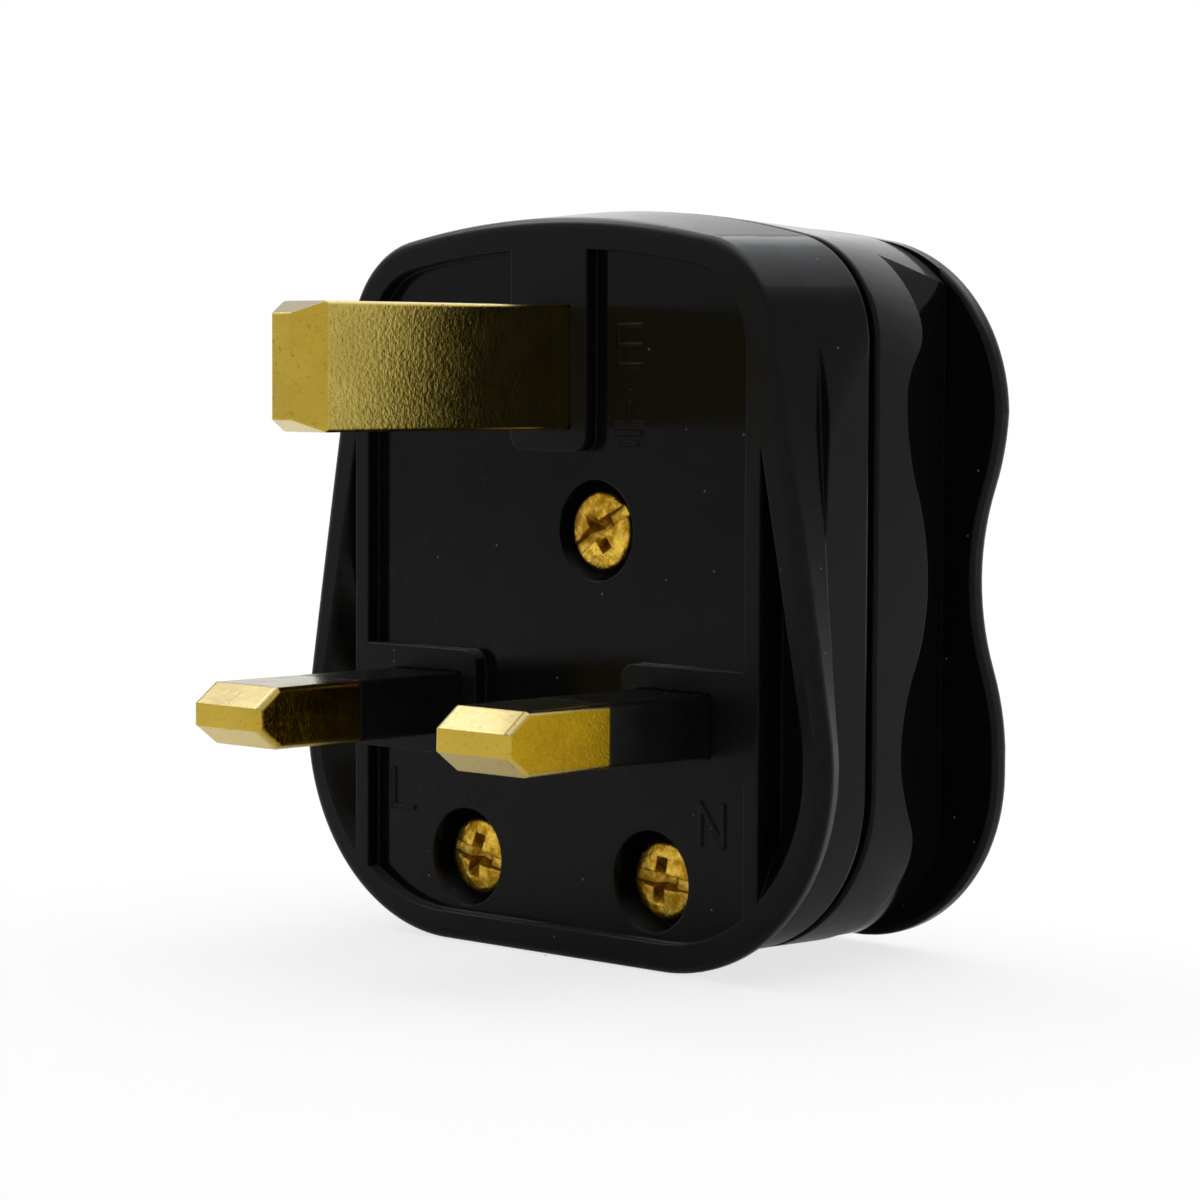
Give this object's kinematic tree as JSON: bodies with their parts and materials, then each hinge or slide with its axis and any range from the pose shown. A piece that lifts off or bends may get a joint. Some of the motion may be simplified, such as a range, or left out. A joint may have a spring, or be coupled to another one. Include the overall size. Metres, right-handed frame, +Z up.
{
  "type": "uk three pin plug",
  "caption": "Rewirable mains plug in two black moulded halves, with rectangular brass pins, sleeved live and neutral roots, a cartridge fuse, screw terminals and a cord clamp.",
  "frame": {"origin": "on the engagement face, midway between the live and neutral pins", "axes": "+X towards the neutral pin, +Y from the pins into the body, +Z up towards the earth pin"},
  "size_m": [0.047, 0.0427, 0.0484],
  "materials": {
    "black_plastic": "polished moulding, fine scratches",
    "sleeve_plastic": "satin",
    "brass": "stamped, fine grain",
    "screw_brass": "worn turned",
    "spring_bronze": "bright strip",
    "plated_metal": "nickel plated",
    "ceramic": "unglazed",
    "fuse_metal": "drawn wire",
    "clamp_plastic": "moulded"
  },
  "bodies": {
    "root": {"base": "black_plastic", "cover": "black_plastic", "earth_pin": "brass", "neutral_pin": "brass", "live_pin": "brass", "neutral_sleeve": "sleeve_plastic", "live_sleeve": "sleeve_plastic", "live_terminal": "brass", "fuse_clip_lower": "spring_bronze", "fuse_clip_upper": "spring_bronze", "clip_rivet_lower": "brass", "clip_rivet_upper": "brass", "fuse_cap_lower": "plated_metal", "fuse_cap_upper": "plated_metal", "fuse_tube": "ceramic", "fuse_wire": "fuse_metal", "cover_screw": "screw_brass", "cover_insert": "brass", "cord_clamp": "clamp_plastic", "cord_clamp_screw_left": "screw_brass", "cord_clamp_screw_right": "screw_brass", "live_terminal_screw": "screw_brass", "neutral_terminal_screw": "screw_brass", "earth_terminal_screw": "screw_brass"}
  },
  "joints": []
}
